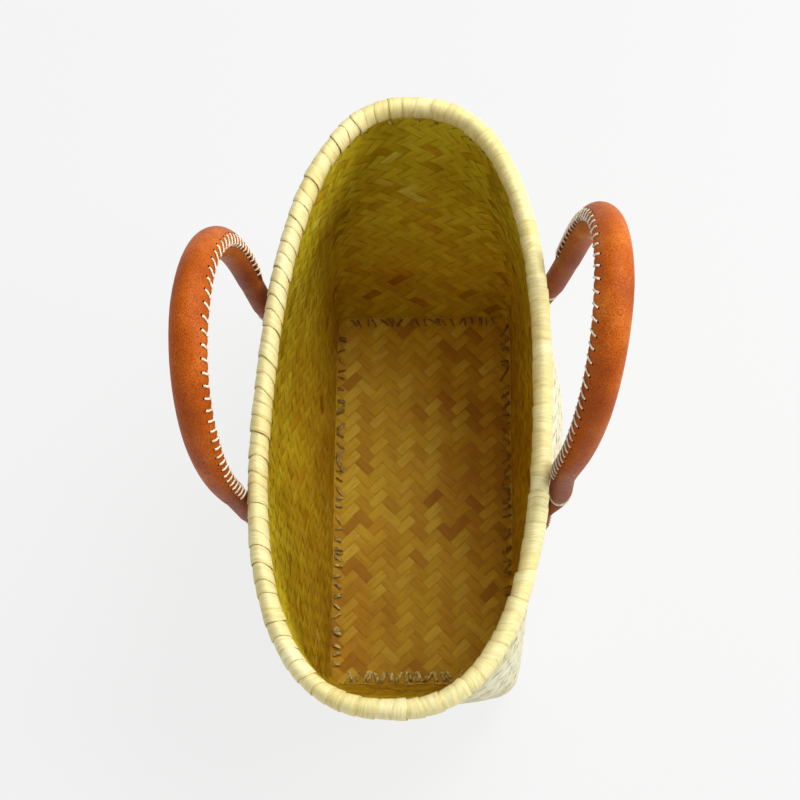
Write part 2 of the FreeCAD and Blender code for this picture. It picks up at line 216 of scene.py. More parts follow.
def outline(half_length, half_width, power, height, rise, turn, swell=0.0):
    """Closed superellipse at a height; rise runs from 0 at the bottom to 1 at the rim."""
    c, s = np.cos(turn), np.sin(turn)
    reach = (np.abs(c) ** power + np.abs(s) ** power) ** (-1 / power)
    along = half_length * reach * c
    swell = swell * np.exp(-((along - BELLY_CENTRE) / BELLY_WIDTH) ** 2)
    across = (half_width + swell) * reach * s
    across = across * (1 - MOUTH_TAPER * np.minimum(rise, 1.0) * along / half_length)
    lean = MOUTH_SKEW * across * (1 + along / half_length) / 2
    along = along + np.minimum(rise, 1.0) * (MOUTH_SHIFT + lean)
    twist = np.radians(BASE_TWIST) * np.maximum(0.0, 1 - rise)
    x = along * np.cos(twist) - across * np.sin(twist)
    y = along * np.sin(twist) + across * np.cos(twist)
    return np.stack([x, y, height + 0 * x], -1)


def wall(height, turn, outset):
    """Wall's outer face moved outwards by outset."""
    rise = np.maximum(height, 0.0) / WALL_TOP
    half_wall = (OUTER_PLY + PLY_GAP + INNER_PLY) / 2
    top_length, top_width = MOUTH_HALF_LENGTH + half_wall, MOUTH_HALF_WIDTH + half_wall
    half_length = BASE_HALF_LENGTH + (top_length - BASE_HALF_LENGTH) * rise ** FLARE_LENGTH
    half_width = BASE_HALF_WIDTH + (top_width - BASE_HALF_WIDTH) * rise ** FLARE_WIDTH
    power = MOUTH_POWER + (BASE_POWER - MOUTH_POWER) * np.maximum(0.0, 1 - rise) ** BASE_FADE
    swell = BELLY * np.sin(np.pi * rise ** BELLY_RISE)
    return outline(half_length + outset, half_width + outset, power, height, rise, turn, swell)


def share_table(points_at, count):
    """Turn for each even share of the way round a closed line."""
    fine = np.linspace(0, 2 * np.pi, 2 * count + 1)
    steps = np.linalg.norm(np.diff(points_at(fine), axis=0), axis=1)
    run = np.concatenate([[0], np.cumsum(steps)])
    return np.interp(np.linspace(0, 1, count + 1), run / run[-1], fine), run[-1]


TABLE_ROWS, TABLE_COLUMNS = 26, 1440
turn_rows = np.array([share_table(lambda turn: wall(height, turn, 0.0), TABLE_COLUMNS)[0]
                      for height in np.linspace(0, WALL_TOP, TABLE_ROWS)])


def turn_at(height, share):
    """Turn of the point that lies this share of the way round, at a height."""
    row = np.clip(height / WALL_TOP, 0, 1) * (TABLE_ROWS - 1)
    column = (share % 1.0) * TABLE_COLUMNS
    r = np.minimum(row.astype(int), TABLE_ROWS - 2)
    c = np.minimum(column.astype(int), TABLE_COLUMNS - 1)
    row, column = row - r, column - c
    low = turn_rows[r, c] * (1 - column) + turn_rows[r, c + 1] * column
    high = turn_rows[r + 1, c] * (1 - column) + turn_rows[r + 1, c + 1] * column
    return low * (1 - row) + high * row


def side_at(x, height, outset, side):
    """Distance across, at side -1 or +1, of the wall's face moved by outset."""
    x, height, outset = np.broadcast_arrays(x, height, outset)
    low, high = np.zeros(x.shape), np.full(x.shape, np.pi)
    for _ in range(26):
        middle = (low + high) / 2
        beyond = wall(height, side * middle, outset)[..., 0] > x
        low, high = np.where(beyond, middle, low), np.where(beyond, high, middle)
    return wall(height, side * low, outset)[..., 1]


# ----------------------------------------------------------------- materials

def srgb(red, green, blue):
    def linear(level):
        level /= 255
        return level / 12.92 if level <= 0.04045 else ((level + 0.055) / 1.055) ** 2.4
    return (linear(red), linear(green), linear(blue), 1.0)


class Paint:
    """Small helper for node materials."""

    def __init__(self, name, roughness, specular):
        self.material = bpy.data.materials.new(name)
        self.material.use_nodes = True
        self.tree = self.material.node_tree
        self.shader = self.tree.nodes["Principled BSDF"]
        self.shader.inputs["Roughness"].default_value = roughness
        self.shader.inputs["Specular IOR Level"].default_value = specular

    def feed(self, socket, value):
        if isinstance(value, bpy.types.NodeSocket):
            self.tree.links.new(value, socket)
        else:
            socket.default_value = value

    def add(self, kind, inputs, output=0, **settings):
        node = self.tree.nodes.new(kind)
        for name, value in settings.items():
            setattr(node, name, value)
        for name, value in inputs.items():
            self.feed(node.inputs[name], value)
        return node.outputs[output]

    def attribute(self, name, output):
        return self.add("ShaderNodeAttribute", {}, output, attribute_name=name)

    def place(self):
        return self.add("ShaderNodeTexCoord", {}, "Object")

    def math(self, operation, first, second=0.0):
        return self.add("ShaderNodeMath", {0: first, 1: second}, operation=operation)

    def scaled(self, vector, scale):
        return self.add("ShaderNodeVectorMath", {0: vector, 1: scale}, operation="MULTIPLY")

    def noise(self, vector, scale, detail=2.0, roughness=0.5):
        return self.add("ShaderNodeTexNoise", {"Vector": vector, "Scale": scale,
                                               "Detail": detail, "Roughness": roughness})

    def range(self, value, low, high, to_low=0.0, to_high=1.0):
        return self.add("ShaderNodeMapRange", {"Value": value, "From Min": low, "From Max": high,
                                               "To Min": to_low, "To Max": to_high})

    def mix(self, share, first, second, blend="MIX"):
        node = self.tree.nodes.new("ShaderNodeMix")
        node.data_type = "RGBA"
        node.blend_type = blend
        self.feed(node.inputs[0], share)
        self.feed(node.inputs[6], first)
        self.feed(node.inputs[7], second)
        return node.outputs[2]

    def ramp(self, value, *stops):
        node = self.tree.nodes.new("ShaderNodeValToRGB")
        self.feed(node.inputs[0], value)
        elements = node.color_ramp.elements
        for number, (place, colour) in enumerate(stops):
            element = elements[number] if number < 2 else elements.new(place)
            element.position = place
            element.color = colour
        return node.outputs[0]

    def bump(self, height, distance):
        return self.add("ShaderNodeBump", {"Height": height, "Distance": distance})

    def finish(self, colour, roughness=None, normal=None):
        self.feed(self.shader.inputs["Base Color"], colour)
        if roughness is not None:
            self.feed(self.shader.inputs["Roughness"], roughness)
        if normal is not None:
            self.feed(self.shader.inputs["Normal"], normal)
        return self.material


def leaf(name, tones, deep, half_width, streak=0.35, rough=(0.5, 0.72), ridge=0.00012,
         edge_shade_share=0.25, fibre=(2.6, 7.0), specular=0.35, height_light_tint=None, stain_and_sheen=None):
    """Split palm leaf: fibres along the strip, a tone per float, and strip edges darkened as
    painted shade between the strips.

    height_light_tint=(low, high, colour) tints by height in metres, painted light that makes
    higher parts greener than lower ones; stain_and_sheen=(scale, colour, amount) lays random
    clouds of tint, partly stains and partly painted sheen."""
    paint = Paint(name, 0.6, specular)
    grain = paint.attribute("grain", "Vector")
    tone = paint.attribute("tone", "Fac")
    colour = paint.ramp(tone, *tones)
    fibres = paint.noise(paint.scaled(grain, (fibre[0], 0.05, 37.0)), 1.0, 3.0, 0.6)
    fine = paint.noise(paint.scaled(grain, (fibre[1], 0.12, 91.0)), 1.0, 2.0, 0.5)
    shade = paint.math("ADD", paint.math("MULTIPLY", fibres, 0.65),
                       paint.math("MULTIPLY", fine, 0.35))
    level = paint.range(shade, 0.32, 0.68, 1.0 - streak, 1.0 + streak * 0.35)
    grey = paint.add("ShaderNodeCombineColor", {0: level, 1: level, 2: level})
    colour = paint.mix(1.0, colour, grey, "MULTIPLY")
    mottle = paint.noise(paint.scaled(grain, (0.5, 0.09, 13.0)), 1.0, 2.0)
    colour = paint.mix(paint.range(mottle, 0.52, 0.74, 0.0, 0.35), colour, deep)
    across = paint.math("ABSOLUTE", paint.add("ShaderNodeSeparateXYZ", {0: grain}, 0))
    # Painted shade: the strip edges darken towards deep, standing for the shadow in the gaps
    # between strips.
    edge = paint.range(across, half_width * 0.78, half_width, 0.0, edge_shade_share)
    colour = paint.mix(edge, colour, deep)
    # Painted light: a tint by height that makes higher parts greener than lower ones, as the light
    # inside the basket colours them.
    if height_light_tint is not None:
        low, high, tint = height_light_tint
        height = paint.add("ShaderNodeSeparateXYZ", {0: paint.place()}, 2)
        colour = paint.mix(paint.range(height, low, high), colour, tint, "MULTIPLY")
    # Random clouds of tint: partly stains, partly painted sheen across wide areas.
    if stain_and_sheen is not None:
        scale, tint, amount = stain_and_sheen
        cloud = paint.noise(paint.place(), scale, 3.0, 0.6)
        colour = paint.mix(paint.range(cloud, 0.48, 0.68, 0.0, amount), colour, tint, "MULTIPLY")
    roughness = paint.range(shade, 0.3, 0.7, rough[1], rough[0])
    return paint.finish(colour, roughness, paint.bump(shade, ridge))


lining_leaf = leaf(
    "lining_leaf",
    ((0.0, srgb(178, 124, 10)), (0.15, srgb(198, 156, 18)), (0.45, srgb(212, 174, 28)),
     (0.75, srgb(222, 190, 42)), (0.92, srgb(206, 150, 20)), (1.0, srgb(232, 212, 84))),
    srgb(140, 96, 6), 3.6, streak=0.3, specular=0.2, edge_shade_share=0.45,
    height_light_tint=(0.06, 0.22, srgb(236, 255, 240)), stain_and_sheen=(16.0, srgb(224, 200, 160), 0.7))
shell_leaf = leaf(
    "shell_leaf",
    ((0.0, srgb(204, 196, 152)), (0.1, srgb(218, 210, 168)), (0.45, srgb(228, 222, 188)),
     (0.75, srgb(236, 231, 204)), (0.93, srgb(220, 210, 160)), (1.0, srgb(243, 240, 224))),
    srgb(184, 172, 120), 3.6, streak=0.2,
    stain_and_sheen=(12.0, srgb(240, 236, 206), 0.8))
mat_leaf = leaf(
    "mat_leaf",
    ((0.0, srgb(188, 130, 12)), (0.1, srgb(200, 146, 16)), (0.3, srgb(212, 162, 22)),
     (0.6, srgb(224, 180, 34)), (0.85, srgb(234, 198, 60)), (1.0, srgb(216, 160, 24))),
    srgb(160, 106, 8), 3.6, streak=0.28, rough=(0.45, 0.65), specular=0.22, edge_shade_share=0.35,
    stain_and_sheen=(9.0, srgb(228, 202, 150), 0.8))
rim_leaf = leaf(
    "rim_leaf",
    ((0.0, srgb(226, 208, 134)), (0.3, srgb(236, 222, 154)), (0.6, srgb(243, 231, 168)),
     (0.85, srgb(248, 240, 190)), (1.0, srgb(234, 216, 140))),
    srgb(190, 160, 76), 5.0, streak=0.24, rough=(0.38, 0.6), ridge=0.0003, fibre=(1.1, 3.0),
    edge_shade_share=0.22,
    stain_and_sheen=(14.0, srgb(240, 232, 196), 0.6))


def strand_paint(name, light, dark, rough, pitch):
    """Twisted thread or raffia: slanting plies with painted shade in their grooves, and a little
    dirt.

    A low tone darkens it, standing for wear on some strands and painted shade on others.
    """
    paint = Paint(name, rough, 0.25)
    grain = paint.attribute("grain", "Vector")
    parts = [paint.add("ShaderNodeSeparateXYZ", {0: grain}, axis) for axis in range(3)]
    phase = paint.math("ADD", parts[0], paint.math("DIVIDE", parts[1], pitch))
    ply = paint.math("SINE", paint.math("MULTIPLY", phase, 4 * math.pi))
    ply = paint.math("ABSOLUTE", ply)
    dirt = paint.noise(paint.scaled(grain, (1.0, 0.4, 23.0)), 1.0, 3.0)
    colour = paint.mix(paint.range(dirt, 0.35, 0.7), light, dark)
    # Painted shade: the grooves between the plies are darkened.
    colour = paint.mix(paint.range(ply, 0.0, 0.35, 0.35, 0.0), colour, dark)
    # The tone darkens the strand: random wear on some strands, painted shade on others.
    wear_and_shade = paint.attribute("tone", "Fac")
    colour = paint.mix(paint.range(wear_and_shade, 0.0, 1.0, 0.9, 0.0), colour, dark)
    return paint.finish(colour, None, paint.bump(ply, 0.00012))


waxed_thread = strand_paint("waxed_thread", srgb(255, 250, 232), srgb(214, 192, 150), 0.55, 1.6)
raffia = strand_paint("raffia_strand", srgb(255, 240, 150), srgb(128, 84, 10), 0.8, 9.0)
rope_fibre = strand_paint("rope_fibre", srgb(206, 178, 124), srgb(120, 92, 52), 0.85, 5.0)


def leather_paint():
    paint = Paint("saddle_leather", 0.42, 0.12)
    place = paint.place()
    tone = paint.attribute("tone", "Fac")
    # Broad clouds of tone; their light patches stand partly for painted satin sheen.
    cloud = paint.noise(place, 30.0, 4.0, 0.55)
    colour = paint.ramp(cloud, (0.28, srgb(160, 70, 8)), (0.5, srgb(190, 92, 16)),
                        (0.72, srgb(216, 124, 42)))
    pebble = paint.add("ShaderNodeTexVoronoi", {"Vector": place, "Scale": 950.0}, "Distance")
    small = paint.noise(place, 1150.0, 3.0, 0.75)
    crease = paint.noise(place, 300.0, 4.0, 0.65)
    # Painted shade: the crevices between pebbles are darkened.
    colour = paint.mix(paint.range(pebble, 0.35, 0.8, 0.0, 0.45), colour, srgb(124, 48, 2))
    colour = paint.mix(paint.range(small, 0.48, 0.7, 0.0, 0.55), colour, srgb(116, 42, 2))
    colour = paint.mix(paint.range(small, 0.28, 0.42, 0.35, 0.0), colour, srgb(224, 128, 44))
    # Painted shade carried by the tone: darker towards the legs, on the tabs and under the flap's
    # edge.
    colour = paint.mix(paint.range(tone, 0.0, 1.0, 0.0, 0.85), colour, srgb(88, 28, 2))
    height = paint.math("SUBTRACT", paint.math("MULTIPLY", crease, 0.6), pebble)
    height = paint.math("ADD", height, paint.math("MULTIPLY", small, 0.5))
    roughness = paint.range(crease, 0.3, 0.7, 0.36, 0.56)
    return paint.finish(colour, roughness, paint.bump(height, 0.0002))


leather = leather_paint()


def plain_dark(name, colour):
    paint = Paint(name, 0.9, 0.1)
    cloud = paint.noise(paint.place(), 400.0, 3.0)
    return paint.finish(paint.mix(cloud, colour, srgb(30, 12, 6)))


# Painted shade: the awl holes are dark patches standing for the shade inside them.
awl_hole_shade = plain_dark("awl_hole", srgb(52, 22, 10))


def cane_paint():
    paint = Paint("cane", 0.5, 0.4)
    place = paint.place()
    rings = paint.noise(paint.scaled(place, (60.0, 60.0, 900.0)), 1.0, 3.0)
    colour = paint.mix(rings, srgb(206, 170, 104), srgb(156, 116, 60))
    return paint.finish(colour, None, paint.bump(rings, 0.0002))


cane = cane_paint()


# -------------------------------------------------------------------- plaits

def weave(position):
    """+1 where a strip lies over two others, -1 where it lies under two."""
    cell = np.floor(position)
    here = np.where(cell % 4 < 2, 1.0, -1.0)
    there = np.where((cell + 1) % 4 < 2, 1.0, -1.0)
    return here + (there - here) * smooth_step((position - cell - 0.5) * 1.5 + 0.5)


ACROSS = np.array([-0.5, 0.0, 0.5])
COLUMNS = 80  # strips of each family round the walls
CELL = 9.3  # height of one step of the walls' pattern
SHELL_CURL = 5.0
WALL_LIFT = 0.36  # how far a strip lies off the layer's middle, over or under
FLAT_PITCH = 7.4
UNDER_MIDDLE = 0.95
MAT_OVER_LENGTH, MAT_OVER_WIDTH, MAT_POWER = 1.9, 1.8, 19
UNDER_INSET, UNDER_POWER = 3.4, 10
TONE_COUNT = 64
DARK_SHARE = 0.05


def wall_plait(surface, q_low, q_high, lift, crown):
    """Two families of slanting strips round the walls, over two and under two."""
    sheaf = Sheaf()
    times = np.arange(q_low - 0.55, q_high + 0.6, 1 / 6)
    width_mm = CELL / math.sqrt(2)
    for slope in (1, -1):
        for index in range(COLUMNS):
            wide = 0.955 + 0.02 * draw.standard_normal()
            wander = 0.035 * np.sin(times * draw.uniform(0.5, 1.1) + draw.uniform(0, 6.3))
            sway = 0.018 * np.sin(times * draw.uniform(2.0, 3.5) + draw.uniform(0, 6.3))
            w = ACROSS[None] * (wide + sway)[:, None] + wander[:, None]
            q = np.clip(times[:, None] - slope * w / 2, q_low, q_high)
            p = index + w + slope * q
            position = 2 * times
            over = slope * weave(position)
            height = lift * over + 0.05 * draw.standard_normal()
            grid = surface(p, q, height[:, None] + np.array([0.0, crown, 0.0])[None] - crown / 2)
            grain = np.zeros(grid.shape)
            grain[..., 0] = w * width_mm
            grain[..., 1] = (times * CELL * math.sqrt(2))[:, None]
            grain[..., 2] = draw.uniform(0, 40)
            shift = 0.0 if slope > 0 else 1.0
            floats = np.floor((position + 1.5 * slope + shift) / 4).astype(int)
            tones = np.clip(draw.normal(draw.uniform(0.35, 0.65), 0.18, TONE_COUNT), 0.02, 0.98)
            sheaf.add(grid, grain, tones[floats % TONE_COUNT][:, None])
    return sheaf


def shell_surface(p, q, lift):
    """Outer face of the walls, rolling under along the bottom edge."""
    run = q * CELL
    curl = np.clip((SHELL_CURL - run) / SHELL_CURL, 0.0, math.pi / 2)
    height = np.where(run < SHELL_CURL, SHELL_CURL * (1 - np.sin(curl)), run)
    outset = OUTER_MIDDLE - (SHELL_CURL + OUTER_MIDDLE) * (1 - np.cos(curl)) + lift * np.cos(curl)
    points = wall(height, turn_at(height, p / COLUMNS), outset)
    points[..., 2] = height - (lift + OUTER_MIDDLE) * np.sin(curl)
    return points


def lining_surface(p, q, lift):
    height = q * CELL
    return wall(height, turn_at(height, p / COLUMNS), LINING_MIDDLE - lift)


shell = wall_plait(shell_surface, -0.27, (WALL_TOP - 1) / CELL, WALL_LIFT, 0.34)
finish_piece(shell.make("outer_walls", shell_leaf, merge=True),
             "basket", "outer_plait", "woven_shell")
lining = wall_plait(lining_surface, 2.4 / CELL, (WALL_TOP - 1) / CELL, WALL_LIFT, 0.3)
finish_piece(lining.make("inner_walls", lining_leaf, merge=True),
             "basket", "inner_plait", "wall_lining")


def flat_plait(inside, pitch, reach, middle, lift, crown, up):
    """Flat patch of the same twill; inside(x, y) tells where the patch reaches.

    reach is half the patch's diagonal in strips; up is the side that is seen."""
    sheaf = Sheaf()
    fine = np.linspace(-reach, reach, 2401)
    count = int(reach)
    for slope in (1, -1):
        for index in range(-count, count + 1):
            wide = 0.965 + 0.015 * draw.standard_normal()
            wander = 0.03 * np.sin(fine * 0.4 + draw.uniform(0, 6.3))
            ends = []
            for offset in ACROSS * wide:
                x, y = slanted(index + offset + 0 * fine, fine, slope, pitch)
                held = np.flatnonzero(inside(x, y))
                ends.append((fine[held[0]], fine[held[-1]]) if len(held) else None)
            if None in ends:
                continue
            ends = np.array(ends)
            stations = np.arange(math.floor(ends.min() * 3) / 3, ends.max() + 0.34, 1 / 3)
            along = np.clip(stations[:, None], ends[None, :, 0], ends[None, :, 1])
            w = ACROSS[None] * wide + np.interp(stations, fine, wander)[:, None]
            x, y = slanted(index + w, along, slope, pitch)
            over = slope * weave(along + index)
            height = lift * over + 0.04 * draw.standard_normal()
            height = height + np.array([0.0, crown, 0.0])[None] - crown / 2
            grid = np.stack([x, y, middle + up * height], -1)
            grain = np.zeros(grid.shape)
            grain[..., 0] = w * pitch
            grain[..., 1] = along * pitch
            grain[..., 2] = draw.uniform(0, 40)
            shift = 1.5 if slope > 0 else -0.5
            floats = np.floor((stations + index + shift) / 4).astype(int)
            # Each float gets a random tone; the slope also shifts it as painted sheen, one family
            # lighter than the other.
            tones = np.clip(draw.normal(0.54 - 0.14 * slope, 0.15, TONE_COUNT), 0.05, 0.98)
            dark = draw.random(TONE_COUNT) < DARK_SHARE
            tones[dark] = draw.uniform(0.0, 0.1, dark.sum())
            sheaf.add(grid, grain, tones[floats % TONE_COUNT][:, None])
    return sheaf


def slanted(across, along, slope, pitch):
    scale = pitch / math.sqrt(2)
    if slope > 0:
        return (along - across) * scale, (along + across) * scale
    return (across - along) * scale, (along + across) * scale


turned = np.radians(BASE_TWIST)


def turned_on(points):
    x, y = points[..., 0].copy(), points[..., 1].copy()
    points[..., 0] = x * np.cos(turned) - y * np.sin(turned)
    points[..., 1] = x * np.sin(turned) + y * np.cos(turned)
    return points


def in_liner(x, y):
    a, b = LINER_HALF_LENGTH + MAT_OVER_LENGTH, LINER_HALF_WIDTH + MAT_OVER_WIDTH
    return (np.abs(x) / a) ** MAT_POWER + (np.abs(y) / b) ** MAT_POWER <= 1


def in_bottom(x, y):
    a, b = BASE_HALF_LENGTH - UNDER_INSET, BASE_HALF_WIDTH - UNDER_INSET
    return (np.abs(x) / a) ** UNDER_POWER + (np.abs(y) / b) ** UNDER_POWER <= 1


mat = flat_plait(in_liner, FLAT_PITCH, 30, LINER_MIDDLE, 0.32, 0.32, 1)
mat.points = [turned_on(points) for points in mat.points]
finish_piece(mat.make("bottom_mat", mat_leaf, merge=True), "basket", "bottom_mat", "base_liner")

under = flat_plait(in_bottom, FLAT_PITCH, 31, UNDER_MIDDLE, 0.34, 0.3, -1)
under.points = [turned_on(points) for points in under.points]
piece = under.make("outer_bottom", shell_leaf, merge=True)
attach(piece, "basket")


# ----------------------------------------------------------- raffia stitches

def bent_strand(start, end, normal, rise, sink):
    """Path that comes up, lies on the surface and goes down again."""
    start, end, normal = (np.asarray(v, float) for v in (start, end, normal))
    shares = np.array([0.0, 0.05, 0.2, 0.5, 0.8, 0.95, 1.0])
    heights = np.array([-sink, 0.0, rise * 0.85, rise, rise * 0.85, 0.0, -sink])
    return start + (end - start) * shares[:, None] + normal * heights[:, None]


def spread(length, pitch):
    count = max(1, round(length / pitch))
    return [(step + 0.5) * length / count - length / 2 for step in range(count)]


MAT_TOP = LINER_MIDDLE + 1.0
SIDE_PITCH, END_PITCH = 7.5, 5.5


def mat_stitches():
    """Uneven whip stitches round the mat, coarser at its near end; their tone is painted light and
    shade, lighter at the near end and on the +Y side, darker at the far end and on the -Y side.
    """
    sheaf = Sheaf()
    sides = ((1, 0, LINER_HALF_LENGTH, LINER_HALF_WIDTH),
             (0, 1, LINER_HALF_WIDTH, LINER_HALF_LENGTH))
    for along_x, along_y, half, edge in sides:
        for side in (-1, 1):
            pitch = SIDE_PITCH if along_x else END_PITCH
            for place in spread(2 * (half - LINER_CORNER), pitch):
                place += draw.normal(0, 1.4)
                near = 0.5 - 0.5 * (place / half if along_x else side)
                # Painted shade: stitches are lighter towards the near end and on the +Y side,
                # darker at the far end and on the -Y side, where the walls shade the mat.
                clear = 0.08 + 0.95 * near * (1.0 if side > 0 or along_y else 0.4)
                inner = edge - draw.uniform(4.6, 6.2) - 2.4 * near * along_y
                outer = edge + draw.uniform(0.0, 0.6)
                slant = draw.normal(0.6, 1.7)
                ends = []
                for depth, shift in ((inner, -slant), (outer, slant)):
                    flat = (place + shift, side * depth)
                    flat = flat if along_x else flat[::-1]
                    ends.append(np.array([flat[0], flat[1], MAT_TOP]))
                more = int(draw.random() < 0.35) + int(draw.random() < 0.6 * near)
                for twin in range(1 + more):
                    nudge = np.array([along_x, along_y, 0.0]) * (1.5 * twin) * draw.choice((-1, 1))
                    skew = nudge * draw.uniform(0.2, 1.0)
                    path = bent_strand(ends[0] + skew, ends[1] + nudge, (0, 0, 1), 0.9, 2.2)
                    grid = tube(path, draw.uniform(0.4, 0.7) + 0.15 * near, 8, 0.6)
                    sheaf.add(turned_on(grid), strand_grain(path, 8, draw.uniform(0, 40)),
                              np.clip(clear + draw.normal(0, 0.12), 0, 1))
    return sheaf


finish_piece(mat_stitches().make("mat_stitches", raffia), "basket", "raffia", "base_stitching")

LASHING_HEIGHT = 236.5
LASHING_COUNT = 56


def lashing():
    """Raffia under the rim: short strands, some of them loose and lying askew."""
    sheaf = Sheaf()
    for step in range(LASHING_COUNT):
        share = (step + draw.uniform(-0.3, 0.3)) / LASHING_COUNT
        heights = np.array([LASHING_HEIGHT + draw.uniform(-2.8, 2.5), LASHING_HEIGHT + 4.0])
        lean = draw.normal(0.0, 0.004)
        shares = np.array([share, share + lean])
        turns = turn_at(heights, shares)
        ends = wall(heights, turns, LINING_FACE)
        inward = unit(wall(heights, turns, LINING_FACE - 1.0) - ends)[0]
        path = bent_strand(ends[0], ends[1], inward, 0.75, 1.2)
        sheaf.add(tube(path, draw.uniform(0.45, 0.8), 8, 0.6, inward),
                  strand_grain(path, 8, draw.uniform(0, 40)), draw.uniform(0.2, 0.8))
    return sheaf


finish_piece(lashing().make("rim_lashing_strands", raffia), "basket", "raffia", "rim_lashing")


# ----------------------------------------------------------------------- rim

RIM_MIDDLE = RIM_TOP - WRAP_HALF_HEIGHT
NARROWEST_TURN, WIDEST_TURN = 8.2, 11.4
TURN_OVERLAP = 0.9


def rim_line(turn):
    return outline(MOUTH_HALF_LENGTH, MOUTH_HALF_WIDTH, MOUTH_POWER, RIM_MIDDLE, 1.0, turn)


rim_turns, rim_length = share_table(rim_line, TABLE_COLUMNS)


def rim_point(run, angle, proud):
    """Point of the wrapping: run along the rim, angle round it (0 outside, pi inside)."""
    share = (run / rim_length) % 1.0
    turn = np.interp(share, np.linspace(0, 1, TABLE_COLUMNS + 1), rim_turns)
    centre = rim_line(turn)
    ahead = rim_line(turn + 1e-3)
    tangent = unit(ahead - centre)
    outward = np.stack([tangent[..., 1], -tangent[..., 0], 0 * turn], -1)
    wide = (WRAP_HALF_WIDTH + proud) * np.cos(angle)
    high = (WRAP_HALF_HEIGHT + proud) * np.sin(angle)
    return centre + outward * wide[..., None] + np.array([0, 0, 1.0]) * high[..., None]


def rim_wraps():
    """Leaf wrapped round the hoop: each turn lies over the start of the next."""
    sheaf = Sheaf()
    angles = np.linspace(0, 2 * np.pi, 30, endpoint=False)
    inner_share = (1 - np.cos(angles)) / 2
    profile = np.array([[0.0, -1.0], [0.1, -0.5], [0.3, -0.16], [0.55, 0.0], [0.8, 0.12],
                        [0.94, 0.16], [1.0, 0.02], [1.0, -0.5], [0.5, -1.0]])
    earlier = None
    run = 0.0
    starts = []
    while run < rim_length - 5:
        starts.append(run)
        run += draw.uniform(NARROWEST_TURN, WIDEST_TURN)
    starts = np.array(starts) * rim_length / run
    ends = np.append(starts[1:], rim_length)
    for start, end in zip(starts, ends):
        width = end - start + TURN_OVERLAP
        turn = 2 * np.pi * start / rim_length
        back_side = math.sin(turn) > 0
        slant = 7.5 * max(0.0, math.sin(turn)) * (0.4 + 0.6 * max(0.0, math.cos(turn) + 0.4))
        slant -= 6.0 * max(0.0, -math.sin(turn)) * max(0.0, -math.cos(turn))
        slant += draw.normal(0.8, 1.2)
        crisp = 1.0 if back_side or math.cos(turn) < -0.6 else 0.65
        shift = slant * (0.35 * inner_share + 0.65 * inner_share ** 2)
        shift = shift + 0.6 * np.sin(angles * 2 + draw.uniform(0, 6.3))
        ripple = 0.2 * np.sin(angles * 3 + draw.uniform(0, 6.3)) * draw.uniform(0.3, 1.0)
        bulge = draw.normal(0.0, 0.2)
        earlier = shift if earlier is None else earlier
        slide = profile[:, 0][None, :]
        along = start + width * slide + earlier[:, None] * (1 - slide) + shift[:, None] * slide
        earlier = shift
        proud = profile[:, 1][None, :] * crisp + (1 - crisp) * -0.05 + ripple[:, None] + bulge
        grid = rim_point(along, np.broadcast_to(angles[:, None], along.shape), proud)
        grain = np.zeros(grid.shape)
        grain[..., 0] = (profile[:, 0] - 0.5)[None] * width
        grain[..., 1] = (angles * 7.6)[:, None]
        grain[..., 2] = draw.uniform(0, 40)
        sheaf.add(grid, grain, np.clip(draw.normal(0.5, 0.13), 0.02, 0.98), loop=True)
    return sheaf


finish_piece(rim_wraps().make("rim_wrapping", rim_leaf, sharp=40),
             "basket", "rim_leaf", "rim_wrap")

for item in bpy.data.objects:
    if item.name == "rim_hoop":
        item.data.materials.clear()
        item.data.materials.append(cane)


# ------------------------------------------------------------------- handles

RADIUS_SHARES = (0.0, 0.2, 0.5, 0.8, 1.0)
RADII = (LEG_RADIUS, SHOULDER_RADIUS, GRIP_RADIUS, SHOULDER_RADIUS, LEG_RADIUS)
FLAP_EDGE = math.radians(-4)
FLAP_STEP = 1.4
FLAP_FADE = 0.8
STITCH_PITCH = 7.5
STITCH_REACH, STITCH_UNDER = 5.3, 2.2
SEAM_THREAD_RADIUS = 0.7
BEND_EASE = 15.0
SECTION = 44
SECTION_TURN = 2 * math.pi - 0.03
CINCH_HEIGHT = 203.0
erfc = np.vectorize(math.erfc)


def on_ring(centre, reach, angle, mouthward, outer):
    """Points round a centre line: angle 0 faces the mouth, pi/2 points out of the arch."""
    spoke = np.cos(angle)[..., None] * mouthward + np.sin(angle)[..., None] * outer
    return centre + np.asarray(reach)[..., None] * spoke


